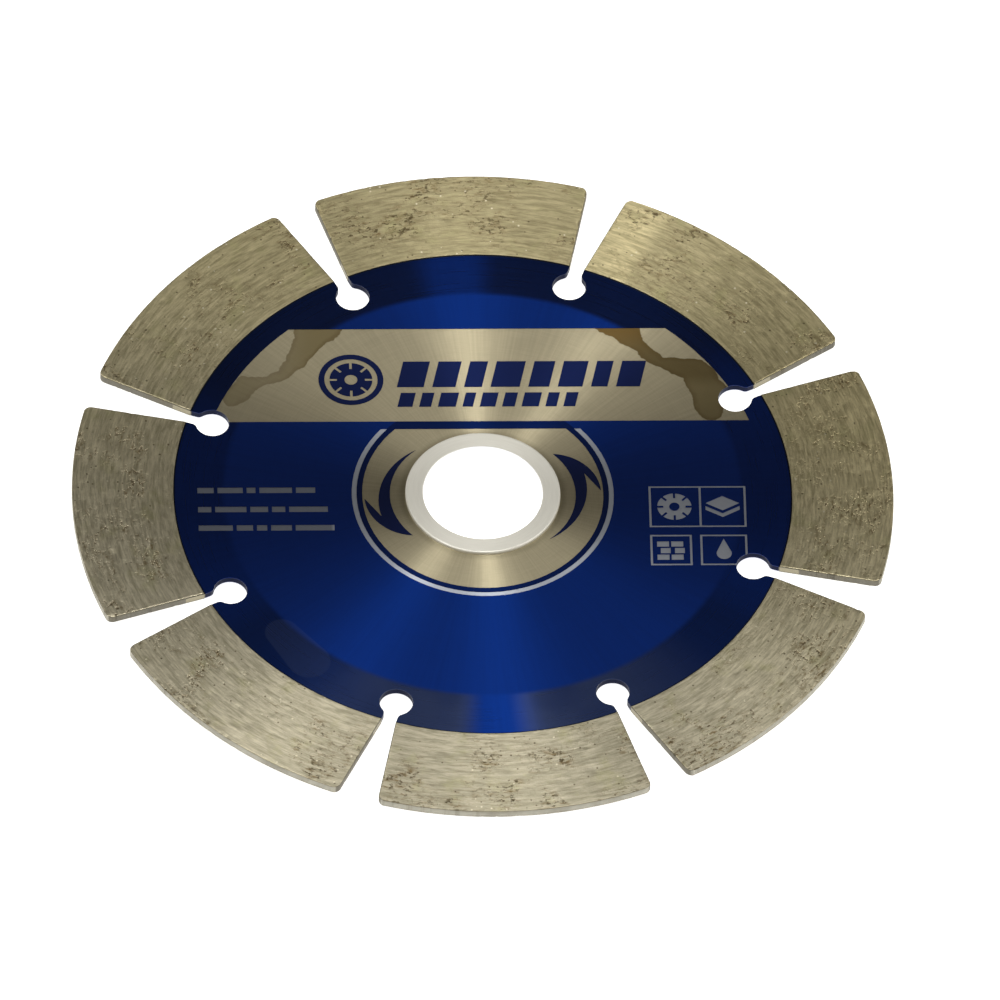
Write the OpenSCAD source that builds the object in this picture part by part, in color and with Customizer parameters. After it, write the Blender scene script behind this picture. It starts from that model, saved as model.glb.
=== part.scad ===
// Segmented diamond blade for masonry, lying flat: the bore runs along Z and the
// middle plane of the steel core is z = 0. Millimetres and degrees.

/* [Blade] */
// Outside diameter of the blade
blade_d = 110; // [106:1:116]
// Thickness of the segments
segment_t = 1.2; // [1.2:0.1:1.6]
// Radial height of a whole segment, diamond layer and base together
segment_h = 13.6; // [13:0.1:14]
// Radial height of the diamond-bearing layer alone
diamond_h = 10; // [8:0.5:10.5]
// Number of segments round the rim
segments = 8; // [8:1:8]
// Radius of a segment's outer corners
corner_r = 1; // [0.5:0.1:1.5]
// Bevel along the cutting edge
edge_bevel = 0.1; // [0.05:0.05:0.2]

/* [Core] */
// Thickness of the steel core
core_t = 0.8; // [0.7:0.1:0.9]
// Diameter of the core's own bore
bore_d = 20; // [20:0.01:20.1]
// How far the core's rim reaches into the segment base
rim_grip = 2.6; // [2:0.1:3]
// Width of the slot through the core
slot_w = 2; // [1.4:0.1:2.4]
// Width of the gap between two segments at the cutting edge
gap_w = 5.6; // [4:0.1:6.5]
// Diameter of the keyhole at the foot of each slot
keyhole_d = 4.5; // [4:0.1:5]
// Radius at which the keyholes are centred
keyhole_r = 38; // [37.5:0.1:38.2]
// Radius that blends a keyhole into its slot
neck_r = 0.8; // [0.4:0.1:1]
// Number of anchor notches in the core's rim under each segment
notches = 4; // [2:1:5]
// Diameter of an anchor notch
notch_d = 1.6; // [1:0.1:1.8]
// Angle between one anchor notch and the next
notch_pitch = 9; // [7:0.5:9]

/* [Reducer bush] */
// Arbor diameter that the bush brings the bore down to
arbor_d = 16; // [15.9:0.01:16.2]
// Diameter of the lip that rests on the core
lip_d = 20.8; // [20.6:0.1:22]
// Thickness of the lip
lip_t = 0.5; // [0.4:0.1:0.8]
// Radius on the lip's top edge
lip_edge_r = 0.25; // [0.1:0.05:0.3]
// Radial clearance between the bush and the core's bore
bush_clearance = 0.03; // [0.02:0.01:0.05]
// Bevel at the ends of the bush
bush_bevel = 0.1; // [0.05:0.05:0.2]

/* [Lacquer] */
// Thickness of the lacquer film
film_t = 0.05; // [0.04:0.01:0.1]
// Bare line left between the lacquer and the segments
film_margin = 0.15; // [0.05:0.05:0.4]
// Radius of the bare disc around the bore
disc_r = 16.15; // [14:0.05:16.3]
// Inner radius of the thin bare ring
ring_r = 16.9; // [16.5:0.05:17]
// Width of the thin bare ring
ring_w = 0.65; // [0.4:0.05:0.8]
// Distance from the bore's axis to the chord that cuts the disc and the ring
chord_y = 11.4; // [11.2:0.05:12]

/* [Print] */
// Turn of the print against the slots
print_turn = -3.2; // [-6:0.1:6]
// Distance from the bore's axis to the foot of the banner
banner_y = 12.7; // [12.5:0.05:14]
// Height of the banner
banner_h = 16; // [14:0.25:16.5]
// Radius of the banner's round ends
banner_r = 38.2; // [36:0.1:39]
// Radius of the round emblem
emblem_r = 4.35; // [3:0.05:5]
// Height of the large row of blocks
large_row_h = 4.4; // [3:0.1:4.6]
// Height of the small row of blocks
small_row_h = 2.4; // [1.5:0.1:2.6]
// Width of the drawn lines round the icons
icon_line = 0.3; // [0.2:0.05:0.4]

/* [Hidden] */
$fn = 96;

blade_r = blade_d / 2;
inner_r = blade_r - segment_h;
layer_r = blade_r - diamond_h;
core_r = inner_r + rim_grip;
lip_r = lip_d / 2;
pitch = 360 / segments;
half_pitch = pitch / 2;
// Length that carries every cut past the faces it cuts
past = 1;
// Blend circles are drawn this much over size, so that they cross the lines and
// arcs they blend instead of only touching them
overlap = 0.002;
// Slope of a segment's end against the middle line of the gap
end_slope = atan((gap_w - slot_w) / 2 / segment_h);

steel = [0.70, 0.67, 0.60];
sinter = [0.62, 0.58, 0.46];
sinter_base = [0.56, 0.52, 0.42];
pale_metal = [0.86, 0.85, 0.80];
blue = [0.05, 0.17, 0.48];

// ---- Slots, drawn with the slot's middle line along +X ----

// Takes the corner off the segment on the +Y side of the slot: a patch that
// touches the end of the segment and the cutting edge, less the corner's circle.
module corner_cut() {
    along = [cos(end_slope), sin(end_slope)];
    across = [-sin(end_slope), cos(end_slope)];
    inset = across * [inner_r, slot_w / 2] + corner_r;
    run = sqrt(pow(blade_r - corner_r, 2) - pow(inset, 2));
    centre = across * inset + along * run;
    foot = centre - across * 2 * corner_r;
    difference() {
        polygon([
            centre,
            foot,
            foot + along * 3 * corner_r,
            centre * (blade_r + corner_r) / (blade_r - corner_r)
        ]);
        translate(centre) circle(corner_r + overlap);
    }
}

// Widens the slot smoothly into the keyhole: the triangle between the keyhole's
// centre and the two blend circles, less those circles.
module neck_blend() {
    side = slot_w / 2 + neck_r;
    out = sqrt(pow(keyhole_d / 2 + neck_r, 2) - pow(side, 2));
    difference() {
        polygon([[keyhole_r, 0], [keyhole_r + out, side], [keyhole_r + out, -side]]);
        for (s = [-1, 1]) {
            translate([keyhole_r + out, s * side]) circle(neck_r + overlap);
        }
    }
}

module slot_plan() {
    far = blade_r + past;
    far_half = slot_w / 2 + (far - inner_r) * tan(end_slope);
    translate([keyhole_r, 0]) circle(d = keyhole_d);
    translate([keyhole_r, -slot_w / 2]) square([segment_h, slot_w]);
    neck_blend();
    polygon([
        [inner_r, -slot_w / 2],
        [far, -far_half],
        [far, far_half],
        [inner_r, slot_w / 2]
    ]);
    corner_cut();
    mirror([0, 1]) corner_cut();
}

module all_slots() {
    for (i = [0 : segments - 1]) {
        rotate(half_pitch + i * pitch) slot_plan();
    }
}

// ---- Steel core ----

// Open pockets in the rim that the sintered base fills, so it can't pull off
module rim_notches() {
    first = -notch_pitch * (notches - 1) / 2;
    for (i = [0 : segments - 1], j = [0 : notches - 1]) {
        rotate(i * pitch + first + j * notch_pitch) {
            translate([core_r - notch_d / 4, 0]) circle(d = notch_d);
        }
    }
}

module core_plan() {
    difference() {
        circle(core_r);
        rim_notches();
        all_slots();
    }
}

module core() {
    color(steel) difference() {
        translate([0, 0, -core_t / 2]) linear_extrude(core_t) core_plan();
        cylinder(d = bore_d, h = core_t + 2 * past, center = true);
    }
}

// ---- Segments, drawn in the middle of the +X side ----

// The sector between two slots, from the axis to past the rim
module sector_plan() {
    reach = blade_r + 2 * past;
    difference() {
        polygon([
            [0, 0],
            [reach, -reach * tan(half_pitch)],
            [reach, reach * tan(half_pitch)]
        ]);
        for (s = [-1, 1]) {
            rotate(s * half_pitch) slot_plan();
        }
    }
}

module sector(height) {
    translate([0, 0, -height / 2]) linear_extrude(height) sector_plan();
}

// Diamond-bearing layer, bevelled along the cutting edge
module segment(number) {
    half_t = segment_t / 2;
    color(sinter) rotate((number - 1) * pitch) intersection() {
        rotate_extrude() polygon([
            [layer_r, -half_t],
            [blade_r - edge_bevel, -half_t],
            [blade_r, -half_t + edge_bevel],
            [blade_r, half_t - edge_bevel],
            [blade_r - edge_bevel, half_t],
            [layer_r, half_t]
        ]);
        sector(segment_t + 2 * past);
    }
}

// Diamond-free base, which wraps both faces and the rim of the core
module segment_base(number) {
    angle = (number - 1) * pitch;
    color(sinter_base) difference() {
        rotate(angle) intersection() {
            rotate_extrude() translate([inner_r, -segment_t / 2]) {
                square([layer_r - inner_r, segment_t]);
            }
            sector(segment_t + 2 * past);
        }
        translate([0, 0, -core_t / 2]) linear_extrude(core_t) difference() {
            circle(core_r);
            rim_notches();
        }
    }
}

// ---- Reducer bush ----

module reducer_bush() {
    foot_z = -core_t / 2;
    seat_z = core_t / 2;
    top_z = seat_z + lip_t;
    bore_r = arbor_d / 2;
    body_r = bore_d / 2 - bush_clearance;
    color(pale_metal) rotate_extrude() {
        polygon([
            [bore_r, foot_z + bush_bevel],
            [bore_r + bush_bevel, foot_z],
            [body_r - bush_bevel, foot_z],
            [body_r, foot_z + bush_bevel],
            [body_r, seat_z],
            [lip_r, seat_z],
            [lip_r, top_z - lip_edge_r],
            [lip_r - lip_edge_r, top_z - lip_edge_r],
            [lip_r - lip_edge_r, top_z],
            [bore_r + bush_bevel, top_z],
            [bore_r, top_z - bush_bevel]
        ]);
        translate([lip_r - lip_edge_r, top_z - lip_edge_r]) circle(lip_edge_r);
    }
}

// ---- Bare areas of the front lacquer, in the print's own turn ----

module below_chord() {
    translate([-blade_r, -blade_r]) square([blade_d, blade_r + chord_y]);
}

module bare_disc() {
    intersection() {
        circle(disc_r);
        below_chord();
    }
}

module bare_ring() {
    intersection() {
        difference() {
            circle(ring_r + ring_w);
            circle(ring_r);
        }
        below_chord();
    }
}

module banner() {
    intersection() {
        circle(banner_r);
        translate([-blade_r, banner_y]) square([blade_d, banner_h]);
    }
}

// One row of plain bars, each a length, with even gaps between them
module bar_row(x, y, lengths, height, gap) {
    starts = [
        for (i = 0, s = x; i < len(lengths); s = s + lengths[i] + gap, i = i + 1) s
    ];
    for (i = [0 : len(lengths) - 1]) {
        translate([starts[i], y]) square([lengths[i], height]);
    }
}

module note_rows() {
    bar_row(-38.2, 0.4, [2.2, 3.4, 1.2, 4.4, 2.6], 1, 0.5);
    bar_row(-38.2, -2.9, [1.8, 4.2, 2.4, 1.8, 5.2], 1, 0.5);
    bar_row(-38.2, -6.1, [4.6, 2.2, 1.4, 2.8, 5.2], 1, 0.5);
}

module frame_line(x, y, w, h) {
    translate([x, y]) difference() {
        square([w, h]);
        translate([icon_line, icon_line]) square([w - 2 * icon_line, h - 2 * icon_line]);
    }
}

// Round tool seen from the front
module disc_icon(size) {
    difference() {
        circle(size);
        circle(size * 0.3);
        for (a = [0 : 45 : 315]) {
            rotate(a) translate([size * 0.65, -size * 0.06]) square([size, size * 0.12]);
        }
    }
}

// Slab seen from above a corner, with its front edges
module slab_icon(size) {
    polygon([[-size, 0.1 * size], [0, -0.45 * size], [size, 0.1 * size], [0, 0.65 * size]]);
    polygon([
        [-size, -0.1 * size], [0, -0.65 * size], [size, -0.1 * size],
        [size, -0.4 * size], [0, -0.95 * size], [-size, -0.4 * size]
    ]);
}

// Courses of bricks
module wall_icon(size) {
    brick_h = size * 0.5;
    for (row = [0 : 2], i = [0 : 1]) {
        shift = row % 2 == 0 ? 0 : 0.5;
        translate([(i - 1 + shift * 0.5) * size, (row - 1.5) * brick_h * 1.2]) {
            square([size * 0.85 - shift * size * 0.3, brick_h]);
        }
    }
}

// Drop of water
module drop_icon(size) {
    drop_r = size * 0.6;
    reach = size * 1.5;
    lean = asin(drop_r / reach);
    translate([0, -size * 0.35]) {
        circle(drop_r);
        polygon([
            [0, reach],
            [-drop_r * cos(lean), drop_r * sin(lean)],
            [drop_r * cos(lean), drop_r * sin(lean)]
        ]);
    }
}

module icon_boxes() {
    frame_line(22.2, -5.75, 6.7 + icon_line, 7.1);
    frame_line(28.9, -5.75, 6.3, 7.1);
    frame_line(22.2, -12.35, 5.6, 5.3);
    frame_line(28.9, -12.35, 6.3, 5.3);
    translate([25.6, -2.2]) disc_icon(2.3);
    translate([32.05, -1.85]) slab_icon(2.3);
    translate([25, -9.7]) wall_icon(1.9);
    translate([32.05, -9.7]) drop_icon(1.7);
}

// ---- Printed marks that stand on the bare areas ----

// Ring round a plain disc with eight slots
module emblem() {
    difference() {
        circle(emblem_r);
        circle(emblem_r * 0.82);
    }
    disc_icon(emblem_r * 0.66);
}

// Leaning blocks, each a width, with even gaps between them
module block_row(x, y, widths, height, gap) {
    lean = height * 0.22;
    starts = [
        for (i = 0, s = x; i < len(widths); s = s + widths[i] + gap, i = i + 1) s
    ];
    for (i = [0 : len(widths) - 1]) {
        translate([starts[i], y]) {
            polygon([
                [0, 0],
                [widths[i], 0],
                [widths[i] + lean, height],
                [lean, height]
            ]);
        }
    }
}

// Crescent arrow on the +X side that points up and round the bore. Its outer and
// inner arcs meet at the tail; the head is the part of a third circle below them.
module turn_arrow() {
    barb = [15.8, 0.7];
    notch = [13.65, 3.7];
    difference() {
        union() {
            intersection() {
                translate([3.87, 1.13]) circle(10.12);
                translate([notch[0] - 8, notch[1] - 14]) square([9, 14]);
            }
            intersection() {
                translate([9.1, 0.25]) circle(6.76);
                polygon([barb, notch, [5, notch[1]], [5, 9], [18, 9], [18, barb[1]]]);
            }
        }
        translate([2.5, 0]) circle(9.95);
    }
}

module marks() {
    translate([-17.1, 19.95]) emblem();
    block_row(-11, 18.65, [3.6, 3.1, 2.4, 3.9, 2.8, 3.3, 2.2, 3.2], large_row_h, 1.15);
    block_row(-11, 15.25, [2, 1.6, 2.4, 1.4, 2.1, 1.7, 2.3, 1.5, 1.6], small_row_h, 0.9);
    turn_arrow();
    rotate(180) turn_arrow();
}

// ---- Lacquer films ----

module film_disc() {
    difference() {
        circle(inner_r - film_margin);
        all_slots();
    }
}

module lacquer_front() {
    color(blue) translate([0, 0, core_t / 2]) linear_extrude(film_t) {
        difference() {
            film_disc();
            rotate(print_turn) {
                banner();
                bare_disc();
                bare_ring();
                note_rows();
                icon_boxes();
            }
        }
        rotate(print_turn) marks();
    }
}

module lacquer_back() {
    color(blue) translate([0, 0, -core_t / 2 - film_t]) linear_extrude(film_t) {
        difference() {
            film_disc();
            circle(disc_r);
        }
    }
}

core();
segment_base(1);  // segment_base_1
segment_base(2);  // segment_base_2
segment_base(3);  // segment_base_3
segment_base(4);  // segment_base_4
segment_base(5);  // segment_base_5
segment_base(6);  // segment_base_6
segment_base(7);  // segment_base_7
segment_base(8);  // segment_base_8
segment(1);  // segment_1
segment(2);  // segment_2
segment(3);  // segment_3
segment(4);  // segment_4
segment(5);  // segment_5
segment(6);  // segment_6
segment(7);  // segment_7
segment(8);  // segment_8
reducer_bush();
lacquer_front();
lacquer_back();
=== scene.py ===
"""Studio scene of a segmented diamond blade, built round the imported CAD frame. Metres."""
import math

import bpy
import numpy as np
from mathutils import Matrix, Vector


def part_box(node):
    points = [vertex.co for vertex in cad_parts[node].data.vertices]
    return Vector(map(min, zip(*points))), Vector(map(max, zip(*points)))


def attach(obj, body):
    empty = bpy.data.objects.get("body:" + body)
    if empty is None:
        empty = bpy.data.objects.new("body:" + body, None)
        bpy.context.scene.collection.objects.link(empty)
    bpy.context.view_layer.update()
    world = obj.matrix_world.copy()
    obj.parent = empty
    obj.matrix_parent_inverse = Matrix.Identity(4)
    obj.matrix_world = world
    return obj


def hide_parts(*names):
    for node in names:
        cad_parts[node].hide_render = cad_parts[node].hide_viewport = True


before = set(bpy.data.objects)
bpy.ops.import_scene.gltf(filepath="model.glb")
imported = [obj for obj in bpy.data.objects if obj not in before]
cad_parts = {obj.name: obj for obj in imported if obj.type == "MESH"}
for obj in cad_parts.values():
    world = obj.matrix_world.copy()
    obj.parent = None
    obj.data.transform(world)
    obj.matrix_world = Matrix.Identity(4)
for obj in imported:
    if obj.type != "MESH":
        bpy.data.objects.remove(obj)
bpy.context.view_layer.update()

MM = 0.001
SEGMENTS = 8

# ---- Sizes read from the frame ----

BLADE_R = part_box("segment_1")[1].x
LAYER_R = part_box("segment_base_1")[1].x
HALF_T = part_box("segment_1")[1].z
FLOOR_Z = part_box("segment_1")[0].z
CORE_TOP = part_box("core")[1].z
INNER_R = min(math.hypot(v.co.x, v.co.y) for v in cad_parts["segment_base_1"].data.vertices)

# Slot widths and corner radius, as in the CAD source, which the boxes don't give
SLOT_W = 2.0 * MM
GAP_W = 5.6 * MM
CORNER_R = 1.0 * MM

# The bush, as in the CAD source
BORE_R = 8.0 * MM
LIP_R = 10.4 * MM

# The print, as in the CAD source: its turn, and where the bare banner lies
PRINT_TURN = math.radians(-3.2)
BANNER_Y = 12.7 * MM
BANNER_TOP = 28.7 * MM
BANNER_R = 38.2 * MM
DISC_R = 16.15 * MM
CHORD_Y = 11.4 * MM


# ---- Camera: flat-on projection from in front, 51 degrees up, with a slight roll ----

AZIMUTH = math.radians(-6.7)
ELEVATION = math.radians(50.6)
ROLL = math.radians(2.49)
DISTANCE = 0.5
AIM_X = -2.32 * MM
AIM_Y = 0.45 * MM
VIEW_WIDTH = 133.8 * MM


def make_camera():
    back = Vector((
        math.sin(AZIMUTH) * math.cos(ELEVATION),
        -math.cos(AZIMUTH) * math.cos(ELEVATION),
        math.sin(ELEVATION),
    ))
    level = Vector((math.cos(AZIMUTH), math.sin(AZIMUTH), 0))
    upright = back.cross(level)
    right = level * math.cos(ROLL) + upright * math.sin(ROLL)
    up = upright * math.cos(ROLL) - level * math.sin(ROLL)
    data = bpy.data.cameras.new("camera")
    data.type = "ORTHO"
    data.ortho_scale = VIEW_WIDTH
    data.clip_start = 0.01
    data.clip_end = 20
    camera = bpy.data.objects.new("camera", data)
    axes = Matrix((right, up, back)).transposed().to_4x4()
    place = back * DISTANCE - right * AIM_X - up * AIM_Y
    camera.matrix_world = Matrix.Translation(place) @ axes
    bpy.context.scene.collection.objects.link(camera)
    bpy.context.scene.camera = camera


# ---- Node helpers ----


class Shader:
    """A material's node tree, with short calls for the nodes that this scene needs."""

    def __init__(self, name):
        self.material = bpy.data.materials.new(name)
        self.material.use_nodes = True
        self.tree = self.material.node_tree
        self.surface = self.tree.nodes["Principled BSDF"]

    def node(self, kind, **settings):
        made = self.tree.nodes.new(kind)
        for key, value in settings.items():
            setattr(made, key, value)
        return made

    def link(self, value, socket):
        if isinstance(value, bpy.types.NodeSocket):
            self.tree.links.new(value, socket)
        else:
            socket.default_value = value

    def maths(self, operation, a, b=0.0, c=0.0):
        made = self.node("ShaderNodeMath", operation=operation)
        for socket, value in zip(made.inputs, (a, b, c)):
            self.link(value, socket)
        return made.outputs[0]

    def times(self, a, b):
        return self.maths("MULTIPLY", a, b)

    def blend(self, a, b, share):
        """Weighted sum of two values, with share of b."""
        return self.maths("ADD", self.times(a, 1 - share), self.times(b, share))

    def vector_maths(self, operation, a, b=(0, 0, 0)):
        made = self.node("ShaderNodeVectorMath", operation=operation)
        self.link(a, made.inputs[0])
        self.link(b, made.inputs[1])
        return made.outputs["Value" if operation in ("LENGTH", "DOT_PRODUCT") else 0]

    def combine(self, x, y, z):
        made = self.node("ShaderNodeCombineXYZ")
        for socket, value in zip(made.inputs, (x, y, z)):
            self.link(value, socket)
        return made.outputs[0]

    def scaled(self, vector, level):
        return self.vector_maths("MULTIPLY", vector, self.combine(level, level, level))

    def place(self):
        return self.node("ShaderNodeTexCoord").outputs["Object"]

    def split(self, vector):
        made = self.node("ShaderNodeSeparateXYZ")
        self.link(vector, made.inputs[0])
        return made.outputs

    def step(self, value, low, high, out_low=0.0, out_high=1.0):
        """Smooth rise from out_low to out_high as value goes from low to high."""
        made = self.node("ShaderNodeMapRange", interpolation_type="SMOOTHSTEP")
        for socket, number in zip(made.inputs, (value, low, high, out_low, out_high)):
            self.link(number, socket)
        return made.outputs[0]

    def noise(self, vector, scale=1.0, detail=2.0, roughness=0.5, distortion=0.0):
        made = self.node("ShaderNodeTexNoise")
        self.link(vector, made.inputs["Vector"])
        made.inputs["Scale"].default_value = scale
        made.inputs["Detail"].default_value = detail
        made.inputs["Roughness"].default_value = roughness
        made.inputs["Distortion"].default_value = distortion
        return made.outputs["Fac"]

    def cells(self, vector, scale, randomness=1.0):
        made = self.node("ShaderNodeTexVoronoi")
        self.link(vector, made.inputs["Vector"])
        made.inputs["Scale"].default_value = scale
        made.inputs["Randomness"].default_value = randomness
        return made.outputs

    def mix(self, share, a, b):
        made = self.node("ShaderNodeMix", data_type="RGBA")
        self.link(share, made.inputs[0])
        self.link(a, made.inputs[6])
        self.link(b, made.inputs[7])
        return made.outputs[2]

    def bump(self, height, strength, distance, normal=None):
        made = self.node("ShaderNodeBump")
        made.inputs["Strength"].default_value = strength
        made.inputs["Distance"].default_value = distance
        self.link(height, made.inputs["Height"])
        if normal:
            self.link(normal, made.inputs["Normal"])
        return made.outputs[0]

    def radial(self):
        """(distance from the bore's axis, unit vector away from it)."""
        x, y, _ = self.split(self.place())
        flat = self.combine(x, y, 0.0)
        return self.vector_maths("LENGTH", flat), self.vector_maths("NORMALIZE", flat)

    def ring_noise(self, rings_per_mm, turns, detail=2.0, roughness=0.5, shift=0.0):
        """Noise drawn out round the bore's axis: fine across the radius, long round it."""
        radius, outward = self.radial()
        x, y, _ = self.split(outward)
        across = self.maths("MULTIPLY", radius, rings_per_mm / MM)
        around_x = self.maths("MULTIPLY", x, turns)
        around_y = self.maths("MULTIPLY", y, turns)
        point = self.combine(around_x, around_y, self.maths("ADD", across, shift))
        return self.noise(point, 1.0, detail, roughness)

    def painted_glint_beams(self, turns, shift=0.0):
        """Painted glints: noise in thin wedges that run out from the bore, as glints on ring
        scratches do.
        """
        return self.ring_noise(0.07, turns, 3.0, 0.6, shift)

    def outward_in_world(self):
        _, outward = self.radial()
        world = self.node("ShaderNodeVectorTransform")
        world.vector_type = "VECTOR"
        world.convert_from = "OBJECT"
        world.convert_to = "WORLD"
        self.link(outward, world.inputs[0])
        return world.outputs[0]

    def grain_outward(self, anisotropy):
        """Spreads the highlight away from the bore, as rings of fine scratches do."""
        self.link(self.outward_in_world(), self.surface.inputs["Tangent"])
        self.surface.inputs["Anisotropic"].default_value = anisotropy

    def finish(self, colour, roughness, normal=None, **fixed):
        self.link(colour, self.surface.inputs["Base Color"])
        self.link(roughness, self.surface.inputs["Roughness"])
        if normal:
            self.link(normal, self.surface.inputs["Normal"])
        for key, value in fixed.items():
            self.link(value, self.surface.inputs[key.replace("_", " ")])
        return self.material


def linear(red, green, blue):
    """A colour given in 0 to 255 display values."""
    out = []
    for value in (red, green, blue):
        c = value / 255
        out.append(c / 12.92 if c <= 0.04045 else ((c + 0.055) / 1.055) ** 2.4)
    return (*out, 1.0)


# ---- Materials ----

# Dried oil on the bare banner, as strokes (across, up, half width) in the print's own turn, in mm
STAIN_LEFT = [
    (-20.9, 30.0, 3.4), (-23.2, 25.6, 1.9), (-24.5, 23.0, 1.35), (-26.2, 20.8, 0.85),
    (-28.7, 19.8, 0.8), (-31.3, 18.8, 1.6), (-33.1, 17.0, 1.5),
]
STAIN_RIGHT = [
    (18.8, 29.8, 3.0), (21.3, 26.2, 1.2), (22.8, 24.2, 0.85), (24.4, 22.8, 1.0),
    (29.0, 21.4, 2.0), (30.6, 18.2, 2.5), (30.9, 14.3, 1.7),
]
# A painted reflection, as a pale patch on the lacquer by the segments, in the blade's own axes,
# in mm
REFLECTION_PATCH = [(-28.8, -22.2, 2.3), (-25.6, -27.3, 2.9)]

# Where the looks change, as distances from the bore's axis. No print lies beyond PRINT_END_R.
STRIP_R = DISC_R + 0.8 * MM
PRINT_END_R = 39.9 * MM
OUTER_COAT_R = 34.2 * MM
FOOT_R = 41.0 * MM
PAINTED_WALL_R = 41.2 * MM
# The rows of bars lie further left than this, in the print's own turn
ROWS_X = -20.0 * MM
# How soft a printed edge is
PRINT_EDGE = 0.01 * MM

# Colours are linear, and each metal has a dull and a bright end
INK = linear(22, 34, 80)
STEEL = ((0.475, 0.417, 0.275, 1), (0.565, 0.497, 0.33, 1))
STEEL_WALL = (0.30, 0.27, 0.19, 1)
OIL = (0.285, 0.23, 0.115, 1)
OIL_RIM = (0.23, 0.175, 0.085, 1)
OIL_THICK = (0.135, 0.095, 0.035, 1)
RUST = (0.25, 0.14, 0.04, 1)
# Painted contact shadow round the bush's lip
PAINTED_CONTACT_SHADE = (0.16, 0.135, 0.085, 1)
SILVER_ROWS = (0.28, 0.30, 0.35, 1)
SILVER_SIGNS = (0.53, 0.56, 0.62, 1)
FOOT_PAINT = (0.014, 0.02, 0.04, 1)
CORE_WALL_PAINT = (0.006, 0.009, 0.03, 1)
LACQUER = ((0.0021, 0.0222, 0.165, 1), (0.0023, 0.0246, 0.182, 1))
# Painted shade on the coat's outer zone
LACQUER_PAINTED_SHADE = (0.0016, 0.0045, 0.012, 1)
LACQUER_STRIP = (0.001, 0.004, 0.02, 1)
# Tint of the painted reflections in the lacquer
PAINTED_REFLECTION_TINT = (0.38, 0.47, 0.60, 1)
BOND_GREY = ((0.37, 0.335, 0.23, 1), (0.66, 0.60, 0.44, 1))
BOND_YELLOW = ((0.38, 0.325, 0.175, 1), (0.68, 0.59, 0.34, 1))
BOND_GREEN = (0.46, 0.44, 0.20, 1)
BOND_BROWN = (0.23, 0.165, 0.075, 1)
PORE = (0.13, 0.095, 0.05, 1)
GRIT_PALE = (0.86, 0.80, 0.60, 1)
GRIT_DARK = (0.12, 0.09, 0.05, 1)
# Sides in the slots darkened as painted shade, sides on the rim lightened as painted light
SLOT_SIDE_PAINTED_SHADE = (0.19, 0.178, 0.145, 1)
RIM_SIDE_PAINTED_LIGHT = (0.48, 0.46, 0.39, 1)
SIDE_BLOTCH = (0.18, 0.15, 0.095, 1)
SEGMENT_FOOT_PAINT = (0.006, 0.009, 0.025, 1)
DARK_EDGE = (0.17, 0.15, 0.10, 1)
BUSH = ((0.77, 0.745, 0.655, 1), (0.81, 0.785, 0.695, 1))
# Painted light on the bush's bore wall
BUSH_BORE_PAINTED_LIGHT = (0.93, 0.93, 0.93, 1)
FLOOR = ((0.86, 0.86, 0.85, 1), (0.88, 0.88, 0.87, 1))
FLOOR_GLOW = (1, 1, 0.99, 1)


def print_axes(shader):
    """(across, up) in the print's own turn."""
    x, y, _ = shader.split(shader.place())
    cos, sin = math.cos(PRINT_TURN), math.sin(PRINT_TURN)
    across = shader.maths("ADD", shader.times(x, cos), shader.times(y, sin))
    up = shader.maths("SUBTRACT", shader.times(y, cos), shader.times(x, sin))
    return across, up


def in_banner(shader):
    """1 inside the banner's outline or the disc round the bore, 0 outside both."""
    _, height = print_axes(shader)
    radius, _ = shader.radial()
    above = shader.step(height, BANNER_Y - PRINT_EDGE, BANNER_Y)
    below = shader.step(height, BANNER_TOP, BANNER_TOP + PRINT_EDGE, 1.0, 0.0)
    within = shader.step(radius, BANNER_R, BANNER_R + PRINT_EDGE, 1.0, 0.0)
    banner = shader.times(shader.times(above, below), within)
    near = shader.step(radius, DISC_R, DISC_R + PRINT_EDGE, 1.0, 0.0)
    under = shader.step(height, CHORD_Y, CHORD_Y + PRINT_EDGE, 1.0, 0.0)
    return shader.maths("MAXIMUM", banner, shader.times(near, under))


def stroke_distance(shader, across, up, strokes):
    """Distance outside a chain of tapered strokes, negative inside."""
    nearest = None
    for (ax, ay, aw), (bx, by, bw) in zip(strokes, strokes[1:]):
        dx, dy = (bx - ax) * MM, (by - ay) * MM
        px = shader.maths("SUBTRACT", across, ax * MM)
        py = shader.maths("SUBTRACT", up, ay * MM)
        dot = shader.maths("ADD", shader.times(px, dx), shader.times(py, dy))
        share = shader.maths("DIVIDE", dot, dx * dx + dy * dy)
        share = shader.maths("MINIMUM", shader.maths("MAXIMUM", share, 0.0), 1.0)
        off_x = shader.maths("SUBTRACT", px, shader.times(share, dx))
        off_y = shader.maths("SUBTRACT", py, shader.times(share, dy))
        off = shader.vector_maths("LENGTH", shader.combine(off_x, off_y, 0.0))
        width = shader.maths("MULTIPLY_ADD", share, (bw - aw) * MM, aw * MM)
        off = shader.maths("SUBTRACT", off, width)
        nearest = off if nearest is None else shader.maths("MINIMUM", nearest, off)
    return nearest


def facing_up(shader):
    """How level a face lies: 1 on the flat faces, 0 on upright ones."""
    normal = shader.node("ShaderNodeNewGeometry").outputs["True Normal"]
    return shader.maths("ABSOLUTE", shader.split(normal)[2])


def walls(shader):
    """1 where a face stands upright, 0 on the flat faces."""
    return shader.step(facing_up(shader), 0.3, 0.5, 1.0, 0.0)


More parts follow.
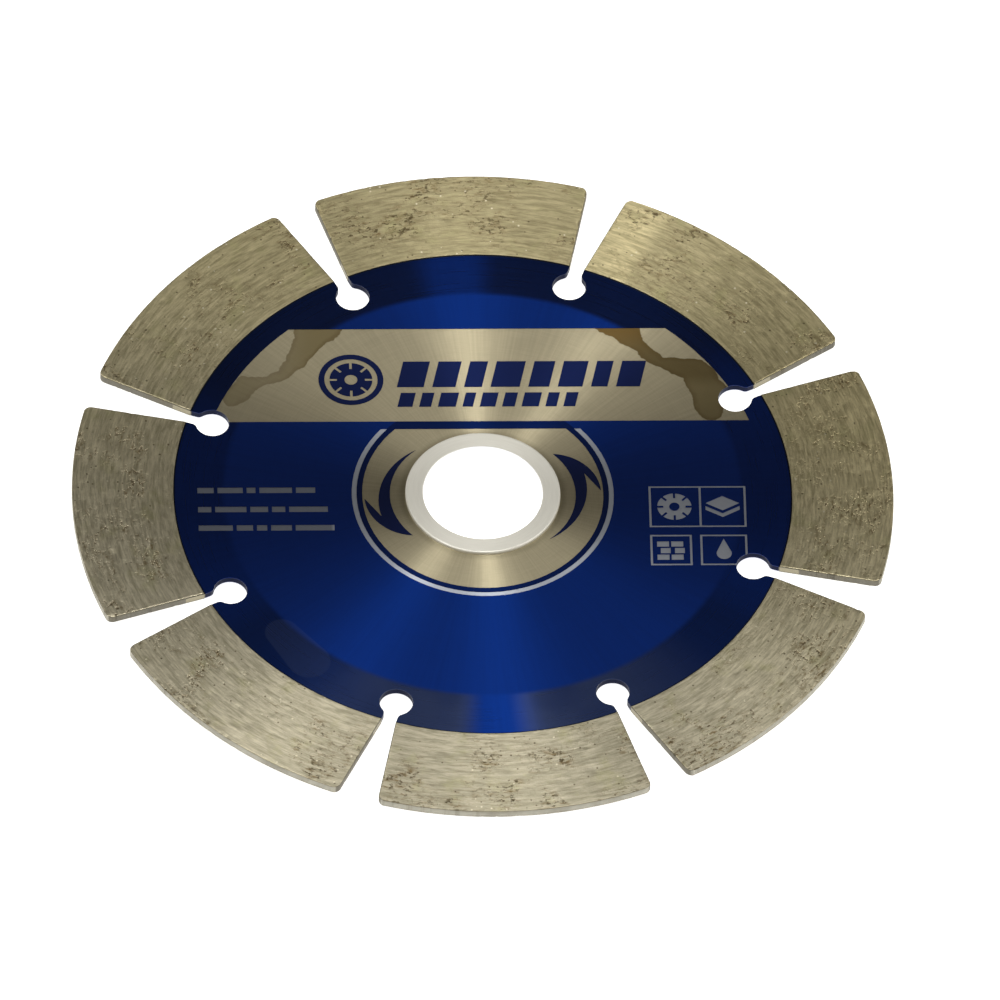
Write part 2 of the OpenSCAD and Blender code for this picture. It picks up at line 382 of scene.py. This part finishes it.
def oiled(shader, steel, across, up):
    """The steel's colour with the two dried oil stains, each with a darker rim."""
    wander = shader.noise(shader.place(), 420.0, 3.0, 0.55)
    swing = shader.times(shader.maths("SUBTRACT", wander, 0.5), 1.7 * MM)
    left = stroke_distance(shader, across, up, STAIN_LEFT)
    right = stroke_distance(shader, across, up, STAIN_RIGHT)
    edge = shader.maths("ADD", shader.maths("MINIMUM", left, right), swing)
    patch = shader.step(edge, -0.12 * MM, 0.05 * MM, 1.0, 0.0)
    patch = shader.times(patch, in_banner(shader))
    oil = shader.mix(shader.step(edge, -0.9 * MM, -0.1 * MM), OIL, OIL_RIM)
    high = shader.step(up, 23 * MM, 29 * MM)
    rust = shader.times(high, shader.step(across, 12 * MM, 16 * MM))
    oil = shader.mix(rust, oil, RUST)
    # The left stain thins out to its end; the right one is darker above and thinner below
    on_right = shader.step(across, 0, 1 * MM)
    thick = shader.times(shader.step(up, 18 * MM, 21 * MM, 0.15, 0.65), on_right)
    oil = shader.mix(thick, oil, OIL_THICK)
    oil = shader.mix(shader.step(across, -21 * MM, -29 * MM, 0.0, 0.4), oil, steel)
    return shader.mix(patch, steel, oil)


def bare_steel():
    shader = Shader("bare_steel")
    radius, _ = shader.radial()
    across, up = print_axes(shader)
    fine = shader.ring_noise(9.0, 7.0, 3.0, 0.6)
    # Part of the tone is painted glints, in thin wedges out from the bore
    tone = shader.blend(fine, shader.painted_glint_beams(75.0, 40.0), 0.6)
    colour = oiled(shader, shader.mix(shader.step(tone, 0.3, 0.7), *STEEL), across, up)
    # Painted contact shadow in the corner round the bush's lip
    contact_shade = shader.step(radius, LIP_R + 0.1 * MM, LIP_R + 1.2 * MM, 0.4, 0.0)
    colour = shader.mix(contact_shade, colour, PAINTED_CONTACT_SHADE)
    # Ring line, rows and signs are silver print; the foot of the segments is dark with paint
    beyond = shader.step(radius, PRINT_END_R, PRINT_END_R + 0.1 * MM)
    steel = shader.maths("MAXIMUM", in_banner(shader), beyond)
    silver = shader.mix(shader.step(across, ROWS_X - 0.5 * MM, ROWS_X), SILVER_ROWS, SILVER_SIGNS)
    colour = shader.mix(steel, silver, colour)
    colour = shader.mix(shader.step(radius, FOOT_R, FOOT_R + 0.1 * MM), colour, FOOT_PAINT)
    upright = walls(shader)
    inner = shader.step(radius, PAINTED_WALL_R, PAINTED_WALL_R + 0.3 * MM, 1.0, 0.0)
    colour = shader.mix(upright, colour, STEEL_WALL)
    colour = shader.mix(shader.times(upright, inner), colour, CORE_WALL_PAINT)
    rough = shader.step(shader.ring_noise(4.0, 5.0, 2.0, 0.6, shift=90.0), 0.3, 0.7, 0.31, 0.35)
    rough = shader.maths("MULTIPLY_ADD", shader.maths("SUBTRACT", 1.0, steel), 0.14, rough)
    shader.grain_outward(0.955)
    grain = shader.noise(shader.place(), 2200.0, 2.0, 0.6)
    ripple = shader.ring_noise(2.6, 26.0, 2.0, 0.6, shift=70.0)
    relief = shader.maths("ADD", fine, shader.times(grain, 0.35))
    relief = shader.maths("MULTIPLY_ADD", ripple, 1.6, relief)
    normal = shader.bump(relief, 0.25, 0.02 * MM)
    return shader.finish(colour, rough, normal, Metallic=1.0)


def painted_lacquer_reflection(shader, rim):
    """Painted reflections: a pale sheen over the lower half of the outer coat, and one pale
    patch.
    """
    _, outward = shader.radial()
    x, y, _ = shader.split(outward)
    cloud = shader.noise(shader.place(), 90.0, 2.0, 0.5)
    lower = shader.step(y, -0.68, -1.0)
    # Clear of the highlight that runs down the middle
    middle = shader.step(shader.maths("ABSOLUTE", shader.maths("ADD", x, 0.035)), 0.04, 0.13)
    painted_reflection = shader.times(shader.times(rim, lower), middle)
    painted_reflection = shader.times(painted_reflection, shader.step(cloud, 0.2, 0.6, 0.03, 0.06))
    across, up, _ = shader.split(shader.place())
    edge = stroke_distance(shader, across, up, REFLECTION_PATCH)
    reflection_patch = shader.step(edge, -0.1 * MM, 0.1 * MM, 0.022, 0.0)
    return shader.maths("MAXIMUM", painted_reflection, reflection_patch)


def blue_lacquer(name, printed):
    shader = Shader(name)
    radius, outward = shader.radial()
    x, _, _ = shader.split(outward)
    fine = shader.ring_noise(7.0, 6.0, 3.0, 0.6)
    # Part of the tone is painted glints, in thin wedges out from the bore
    tone = shader.blend(fine, shader.painted_glint_beams(60.0, 15.0), 0.75)
    blue = shader.mix(shader.step(tone, 0.3, 0.7), *LACQUER)
    # Painted shade darkens the coat by the segments, but for the ends of the two middle lines,
    # where the highlights run
    rim = shader.step(radius, OUTER_COAT_R, OUTER_COAT_R + 1.0 * MM)
    side = shader.maths("ABSOLUTE", shader.maths("ADD", x, 0.02))
    shade = shader.step(side, 0.05, 0.16)
    shade = shader.times(shade, shader.step(side, 0.8, 0.97, 1.0, 0.0))
    shade = shader.times(shader.times(shade, rim), 0.66)
    blue = shader.mix(shade, blue, LACQUER_PAINTED_SHADE)
    if printed:
        # The ring-shaped strip between the disc and the silver line is as dark as the ink
        strip = shader.step(radius, STRIP_R, STRIP_R + 0.05 * MM, 1.0, 0.0)
        blue = shader.mix(shader.times(strip, 0.6), blue, LACQUER_STRIP)
        blue = shader.mix(in_banner(shader), blue, INK)
    # Painted reflection in the coat: mixed into the colour and taken off the metal
    painted_reflection = painted_lacquer_reflection(shader, rim)
    colour = shader.mix(painted_reflection, blue, PAINTED_REFLECTION_TINT)
    rough = shader.step(shader.ring_noise(2.5, 4.0, 2.0, 0.6, shift=60.0), 0.3, 0.7, 0.39, 0.43)
    rough = shader.maths("MULTIPLY_ADD", rim, -0.12, rough)
    shader.grain_outward(0.9)
    # The coat falls away a little towards the segments
    lean = shader.scaled(shader.outward_in_world(), shader.times(rim, 0.07))
    face = shader.node("ShaderNodeNewGeometry").outputs["Normal"]
    tilted = shader.vector_maths("NORMALIZE", shader.vector_maths("ADD", face, lean))
    normal = shader.bump(fine, 0.04, 0.02 * MM, tilted)
    metal = shader.maths("SUBTRACT", 1.0, painted_reflection)
    made = shader.finish(colour, rough, normal, Metallic=metal)
    surface = shader.surface
    surface.inputs["Coat Weight"].default_value = 0.6
    surface.inputs["Coat Roughness"].default_value = 0.09
    surface.inputs["Coat IOR"].default_value = 1.4
    return made


def painted_light_level(shader):
    """Painted light and shade: how bright the ground faces are, from one part of the blade to the
    next.
    """
    x, y, _ = shader.split(shader.place())
    _, outward = shader.radial()
    # Painted light: brighter towards the two sides, and palest at the lower right
    side = shader.maths("DIVIDE", x, BLADE_R)
    level = shader.maths("MULTIPLY_ADD", shader.times(side, side), 0.52, 0.86)
    lean = shader.maths("DIVIDE", shader.maths("SUBTRACT", x, y), BLADE_R * 1.4142)
    level = shader.maths("MULTIPLY_ADD", lean, 0.1, level)
    # Painted shade on the ground face at the upper right, and a painted highlight on the end
    # beside it
    upper_right = shader.vector_maths("DOT_PRODUCT", outward, (0.80, 0.60, 0))
    painted_highlight_way = shader.vector_maths("DOT_PRODUCT", outward, (0.462, 0.887, 0))
    patch = shader.step(upper_right, 0.90, 0.985, 1.0, 0.80)
    patch = shader.times(patch, shader.step(painted_highlight_way, 0.9955, 0.9995, 1.0, 1.32))
    return level, patch


def with_grit(shader, colour):
    """Diamond grit: a thin scatter of pale and of dark points."""
    grit = shader.cells(shader.place(), 1500.0)
    size = shader.split(grit["Color"])[0]
    point = shader.step(grit["Distance"], 0.16, 0.26, 1.0, 0.0)
    pale = shader.times(point, shader.maths("GREATER_THAN", size, 0.95))
    dark = shader.times(point, shader.maths("LESS_THAN", size, 0.09))
    colour = shader.mix(shader.times(pale, 0.7), colour, GRIT_PALE)
    return shader.mix(shader.times(dark, 0.75), colour, GRIT_DARK)


def sintered_sides(shader, blotch):
    """Cut sides, which are rougher and duller than the ground faces, with painted shade in the
    slots and painted light on the rim.
    """
    radius, _ = shader.radial()
    rim = shader.step(radius, BLADE_R - 0.25 * MM, BLADE_R - 0.1 * MM)
    side = shader.mix(rim, SLOT_SIDE_PAINTED_SHADE, RIM_SIDE_PAINTED_LIGHT)
    side = shader.mix(shader.step(blotch, 0.35, 0.7, 0.0, 0.35), side, SIDE_BLOTCH)
    foot = shader.step(radius, INNER_R + 0.03 * MM, INNER_R + 0.08 * MM, 1.0, 0.0)
    return shader.mix(foot, side, SEGMENT_FOOT_PAINT)


def sintered_metal():
    shader = Shader("sintered_metal")
    place = shader.place()
    x, y, _ = shader.split(place)
    radius, _ = shader.radial()
    grinding = shader.ring_noise(4.2, 24.0, 4.0, 0.65)
    drag = shader.ring_noise(1.9, 13.0, 3.0, 0.6, shift=30.0)
    blotch = shader.noise(place, 210.0, 4.0, 0.65)
    tone = shader.blend(grinding, drag, 0.5)
    # The bond's colour goes from greyer to yellower across the blade: a painted tint of warmer
    # light on the upper segments
    painted_light_tint = shader.maths("ADD", shader.times(x, 0.4), y)
    painted_light_tint = shader.step(painted_light_tint, -35 * MM, 40 * MM)
    dull = shader.mix(painted_light_tint, BOND_GREY[0], BOND_YELLOW[0])
    bright = shader.mix(painted_light_tint, BOND_GREY[1], BOND_YELLOW[1])
    colour = shader.mix(shader.step(tone, 0.33, 0.67), dull, bright)
    # Painted light and shade, by place on the blade
    for level in painted_light_level(shader):
        colour = shader.scaled(colour, level)
    colour = shader.mix(shader.step(blotch, 0.52, 0.72, 0.0, 0.35), colour, BOND_GREEN)
    # Open pores and torn-out grit, in clusters drawn out by the grinding
    clusters = shader.step(shader.noise(place, 130.0, 3.0, 0.6, 0.6), 0.44, 0.64)
    layer = shader.step(radius, LAYER_R - 0.6 * MM, LAYER_R + 0.6 * MM, 0.35, 1.0)
    clusters = shader.times(clusters, layer)
    brown = shader.step(shader.ring_noise(1.7, 34.0, 4.0, 0.7, shift=5.0), 0.47, 0.70)
    colour = shader.mix(shader.times(brown, clusters), colour, BOND_BROWN)
    pore_noise = shader.ring_noise(2.1, 62.0, 3.0, 0.68, shift=11.0)
    pores = shader.times(shader.step(pore_noise, 0.525, 0.645), clusters)
    colour = shader.mix(shader.times(pores, 0.85), colour, PORE)
    colour = with_grit(shader, colour)
    # Darker on the rounded edges of the ground faces
    dark_edge = shader.step(facing_up(shader), 0.86, 0.995, 0.6, 0.0)
    colour = shader.mix(dark_edge, colour, DARK_EDGE)
    upright = walls(shader)
    colour = shader.mix(upright, colour, sintered_sides(shader, blotch))
    rough = shader.step(grinding, 0.3, 0.7, 0.37, 0.46)
    rough = shader.maths("ADD", rough, shader.times(pores, 0.25))
    rough = shader.maths("MULTIPLY_ADD", upright, 0.12, rough)
    shader.grain_outward(0.88)
    grain = shader.noise(place, 1900.0, 3.0, 0.65)
    relief = shader.maths("SUBTRACT", shader.times(grinding, 0.4), pores)
    relief = shader.maths("MULTIPLY_ADD", grain, 0.55, relief)
    relief = shader.maths("MULTIPLY_ADD", drag, 0.7, relief)
    normal = shader.bump(relief, 0.7, 0.045 * MM)
    return shader.finish(colour, rough, normal, Metallic=1.0)


def bush_metal():
    shader = Shader("bush_metal")
    turning = shader.ring_noise(12.0, 3.0, 2.0, 0.5)
    colour = shader.mix(shader.step(turning, 0.3, 0.7), *BUSH)
    radius, _ = shader.radial()
    # Painted light: the bore's wall is lightened to near white, as if brightly lit
    painted_bore_light = shader.step(radius, BORE_R + 0.02 * MM, BORE_R + 0.06 * MM, 1.0, 0.0)
    colour = shader.mix(painted_bore_light, colour, BUSH_BORE_PAINTED_LIGHT)
    grain = shader.noise(shader.place(), 4000.0, 2.0, 0.6)
    normal = shader.bump(grain, 0.12, 0.02 * MM)
    rough = shader.step(turning, 0.3, 0.7, 0.42, 0.47)
    shader.grain_outward(0.5)
    return shader.finish(colour, rough, normal, Metallic=0.6)


def pale_floor():
    shader = Shader("pale_floor")
    cloud = shader.noise(shader.place(), 3.0, 2.0, 0.5)
    colour = shader.mix(cloud, *FLOOR)
    surface = shader.surface
    surface.inputs["Emission Color"].default_value = FLOOR_GLOW
    surface.inputs["Emission Strength"].default_value = 0.75
    return shader.finish(colour, 0.8)


def dress(node, material):
    """Gives a CAD node its material in every slot."""
    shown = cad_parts[node]
    shown.data.materials.clear()
    shown.data.materials.append(material)


# ---- Segments ----

HALF_PITCH = math.pi / SEGMENTS
END_SLOPE = math.atan((GAP_W - SLOT_W) / 2 / (BLADE_R - INNER_R))
# Plan of a segment's end, in the slot's own frame: its line, and its corner circle
END_INSET = SLOT_W / 2 * math.cos(END_SLOPE) - INNER_R * math.sin(END_SLOPE)
CORNER_CENTRE_R = BLADE_R - CORNER_R
CORNER_ANGLE = END_SLOPE + math.asin((END_INSET + CORNER_R) / CORNER_CENTRE_R)
CORNER_FOOT_R = math.hypot(
    END_INSET, math.sqrt(CORNER_CENTRE_R ** 2 - (END_INSET + CORNER_R) ** 2)
)


def end_angle(radius):
    """Angle from the slot's middle line to the segment's end at a radius."""
    if radius <= CORNER_FOOT_R:
        return END_SLOPE + math.asin(END_INSET / radius)
    cosine = (radius ** 2 + CORNER_CENTRE_R ** 2 - CORNER_R ** 2) / (2 * radius * CORNER_CENTRE_R)
    return CORNER_ANGLE - math.acos(min(1.0, cosine))


def spaced(low, high, step, edge_steps):
    """Even stops from low to high, with closer ones near the ends named in edge_steps."""
    inner = np.linspace(low, high, max(2, round((high - low) / step) + 1))
    near_low = [low + s for s in edge_steps[0]]
    near_high = [high - s for s in edge_steps[1]]
    clear_low = max(near_low, default=low) + step / 3
    clear_high = min(near_high, default=high) - step / 3
    kept = [x for x in inner[1:-1] if clear_low < x < clear_high]
    return np.array(sorted([low, high, *near_low, *near_high, *kept]))


FINE = tuple(x * MM for x in (0.03, 0.07, 0.12, 0.2))
CORNER_STOPS = tuple(x * MM for x in (0.01, 0.04, 0.09, 0.16, 0.26, 0.4, 0.6, 0.8))
GRID = 0.25 * MM
# The core's rim, as in the CAD source, lies in a groove of the segment's base
CORE_RIM_R = 44 * MM
EDGE_WEAR = 0.14 * MM
EDGE_WOBBLE = 0.008 * MM
PITS = 60
NICKS = 14
NICKS_ON_RIM = 0.6


class Wear:
    """The worn ground face of one segment: rounded edges, small nicks and torn-out grit."""

    def __init__(self, number, side):
        self.draw = np.random.default_rng(100 * number + side)
        self.phases = self.draw.uniform(0, math.tau, 5)
        span = HALF_PITCH - END_SLOPE
        draw = self.draw
        self.pits = []
        for _ in range(PITS):
            at = (draw.uniform(LAYER_R, BLADE_R), draw.uniform(-1, 1) * span)
            size = draw.uniform(0.3, 0.6) * MM
            self.pits.append((*at, size, size * draw.uniform(0.02, 0.07), draw.uniform(1.0, 2.2)))
        for _ in range(NICKS):
            on_rim = draw.uniform() < NICKS_ON_RIM
            size = draw.uniform(0.18, 0.35) * MM
            radius = BLADE_R if on_rim else draw.uniform(LAYER_R, BLADE_R)
            turn = draw.uniform(-1, 1) * span
            turn = turn if on_rim else math.copysign(HALF_PITCH - end_angle(radius), turn)
            self.pits.append((radius, turn, size, size * draw.uniform(0.12, 0.35), 1.0))

    def height(self, radius, turn, distance):
        wobble = sum(0.8 ** k * np.sin(turn * (40 + 37 * k) + self.phases[k]) for k in range(5))
        wear = EDGE_WEAR + EDGE_WOBBLE * wobble
        inside = np.clip(wear - distance, 0, None)
        height = HALF_T - (wear - np.sqrt(np.clip(wear ** 2 - inside ** 2, 0, None)))
        for pit_r, pit_a, size, depth, stretch in self.pits:
            across = (radius - pit_r) / size
            around = (turn - pit_a) * pit_r / (size * stretch)
            height = height - depth * np.exp(-2 * (across ** 2 + around ** 2))
        return height


def sintered_piece(name, number, low, high, stops, groove_r, material):
    """One sintered body from radius low to high, as a closed mesh of rings of section points."""
    radii = spaced(low, high, GRID, stops)
    if groove_r:
        radii = np.array(sorted({*radii[abs(radii - groove_r) > GRID / 3], groove_r}))
    half_span = (HALF_PITCH - END_SLOPE) * BLADE_R
    along = spaced(-half_span, half_span, GRID, (FINE, FINE)) / half_span
    ends = np.array([HALF_PITCH - end_angle(r) for r in radii])
    radius = np.repeat(radii[:, None], len(along), axis=1)
    turn = along[None, :] * ends[:, None]
    from_end = (1 - np.abs(along))[None, :] * (ends * radii)[:, None]
    distance = np.minimum(np.minimum(BLADE_R - radius, radius - INNER_R), from_end)
    x, y = radius * np.cos(turn), radius * np.sin(turn)
    top = Wear(number, 1).height(radius, turn, distance)
    bottom = -Wear(number, 2).height(radius, turn, distance)
    grooved = np.nonzero(radii <= groove_r + 1e-9)[0] if groove_r else np.array([], int)
    # Section: out along the top, in along the bottom, then back round the core's groove
    rows = [(x[i], y[i], top[i]) for i in range(len(radii))]
    rows += [(x[i], y[i], bottom[i]) for i in reversed(range(len(radii)))]
    rows += [(x[i], y[i], np.full(len(along), -CORE_TOP)) for i in grooved]
    rows += [(x[i], y[i], np.full(len(along), CORE_TOP)) for i in reversed(grooved)]
    points = np.stack([np.stack(row, axis=-1) for row in rows])
    count, columns = points.shape[:2]
    faces = []
    for i in range(count):
        j = (i + 1) % count
        for k in range(columns - 1):
            a, b = i * columns + k, j * columns + k
            faces.append((a, b, b + 1, a + 1))
    total = len(radii)
    under = 2 * total - 1
    solid = range(len(grooved), total - 1)
    caps = [(i, i + 1, under - i - 1, under - i) for i in solid]
    first = 2 * total
    last = first + 2 * len(grooved) - 1
    for i in range(len(grooved) - 1):
        caps.append((i, i + 1, last - i - 1, last - i))
        caps.append((under - i, first + i, first + i + 1, under - i - 1))
    if groove_r:
        # Where the groove ends, a fan takes in the groove's corners, so the mesh closes
        foot = len(grooved) - 1
        ring = [foot + 1, under - foot - 1, under - foot, first + foot, last - foot, foot]
        caps += [(ring[0], ring[k], ring[k + 1]) for k in range(1, 5)]
    end = columns - 1
    for cap in caps:
        faces.append([row * columns for row in reversed(cap)])
        faces.append([row * columns + end for row in cap])
    mesh = bpy.data.meshes.new(name)
    mesh.from_pydata(points.reshape(-1, 3).tolist(), [], faces)
    mesh.transform(Matrix.Rotation((number - 1) * 2 * HALF_PITCH, 4, "Z"))
    mesh.update()
    mesh.polygons.foreach_set("use_smooth", [True] * len(mesh.polygons))
    mesh.set_sharp_from_angle(angle=math.radians(38))
    mesh.materials.append(material)
    piece = bpy.data.objects.new(name, mesh)
    bpy.context.scene.collection.objects.link(piece)
    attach(piece, "blade")
    return piece


def make_segment(number, material):
    layer = sintered_piece(
        f"diamond_layer_{number}", number, LAYER_R, BLADE_R, ((), CORNER_STOPS), None, material
    )
    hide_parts(f"segment_{number}")
    base = sintered_piece(
        f"sintered_base_{number}", number, INNER_R, LAYER_R, (FINE, ()), CORE_RIM_R, material
    )
    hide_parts(f"segment_base_{number}")


# ---- Floor and light ----

FLOOR_HALF = 6.0
# How bright the room is overhead, against white at floor level
WORLD_LEVEL = 0.27


def make_floor(material):
    signs = ((-1, -1), (1, -1), (1, 1), (-1, 1))
    corners = [(x * FLOOR_HALF, y * FLOOR_HALF, FLOOR_Z) for x, y in signs]
    mesh = bpy.data.meshes.new("floor")
    mesh.from_pydata(corners, [], [(0, 1, 2, 3)])
    mesh.materials.append(material)
    floor = bpy.data.objects.new("floor", mesh)
    bpy.context.scene.collection.objects.link(floor)


def soft_light(name, azimuth, elevation, distance, size, watts):
    """A soft box that faces the blade. Azimuth 0 is in front, 90 at the right."""
    a, e = math.radians(azimuth), math.radians(elevation)
    out = Vector((math.sin(a) * math.cos(e), -math.cos(a) * math.cos(e), math.sin(e)))
    data = bpy.data.lights.new(name, "AREA")
    data.shape = "RECTANGLE"
    data.size, data.size_y = size
    data.energy = watts
    light = bpy.data.objects.new(name, data)
    light.location = out * distance
    light.rotation_mode = "QUATERNION"
    light.rotation_quaternion = out.to_track_quat("Z", "Y")
    light.visible_camera = False
    bpy.context.scene.collection.objects.link(light)


def make_world():
    """A dim room: white at floor level, darkest where the camera's mirror image would look."""
    world = bpy.data.worlds.new("studio")
    world.use_nodes = True
    tree = world.node_tree
    background = tree.nodes["Background"]

    def node(kind, **settings):
        made = tree.nodes.new(kind)
        for key, value in settings.items():
            setattr(made, key, value)
        return made

    way = node("ShaderNodeTexCoord").outputs["Generated"]
    split = node("ShaderNodeSeparateXYZ")
    tree.links.new(way, split.inputs[0])
    rise = node("ShaderNodeMapRange", interpolation_type="SMOOTHSTEP")
    tree.links.new(split.outputs[2], rise.inputs[0])
    for socket, value in zip(rise.inputs[1:], (0.02, 0.35, 1.0, WORLD_LEVEL)):
        socket.default_value = value
    mirror = node("ShaderNodeVectorMath", operation="DOT_PRODUCT")
    tree.links.new(way, mirror.inputs[0])
    mirror.inputs[1].default_value = (
        -math.sin(AZIMUTH) * math.cos(ELEVATION),
        math.cos(AZIMUTH) * math.cos(ELEVATION),
        math.sin(ELEVATION),
    )
    shade = node("ShaderNodeMapRange", interpolation_type="SMOOTHSTEP")
    tree.links.new(mirror.outputs["Value"], shade.inputs[0])
    for socket, value in zip(shade.inputs[1:], (0.86, 0.97, 1.0, 0.35)):
        socket.default_value = value
    level = node("ShaderNodeMath", operation="MULTIPLY")
    tree.links.new(rise.outputs[0], level.inputs[0])
    tree.links.new(shade.outputs[0], level.inputs[1])
    tree.links.new(level.outputs[0], background.inputs["Strength"])
    background.inputs["Color"].default_value = (1.0, 0.98, 0.94, 1)
    bpy.context.scene.world = world


# ---- The scene ----

make_camera()
bpy.context.scene.view_settings.view_transform = "Standard"

sinter = sintered_metal()
dress("core", bare_steel())
dress("reducer_bush", bush_metal())
dress("lacquer_front", blue_lacquer("blue_lacquer_front", True))
dress("lacquer_back", blue_lacquer("blue_lacquer_back", False))
for number in range(1, SEGMENTS + 1):
    make_segment(number, sinter)

make_floor(pale_floor())
make_world()
soft_light("overhead_broad", 90, 88, 1.2, (1.5, 1.5), 6)
soft_light("overhead_small", 90, 86, 1.2, (0.08, 0.08), 2.0)
soft_light("left", -90, 68.5, 1.2, (0.2, 0.2), 2.4)
soft_light("right_low", 75, 35, 0.28, (0.16, 0.16), 0.12)
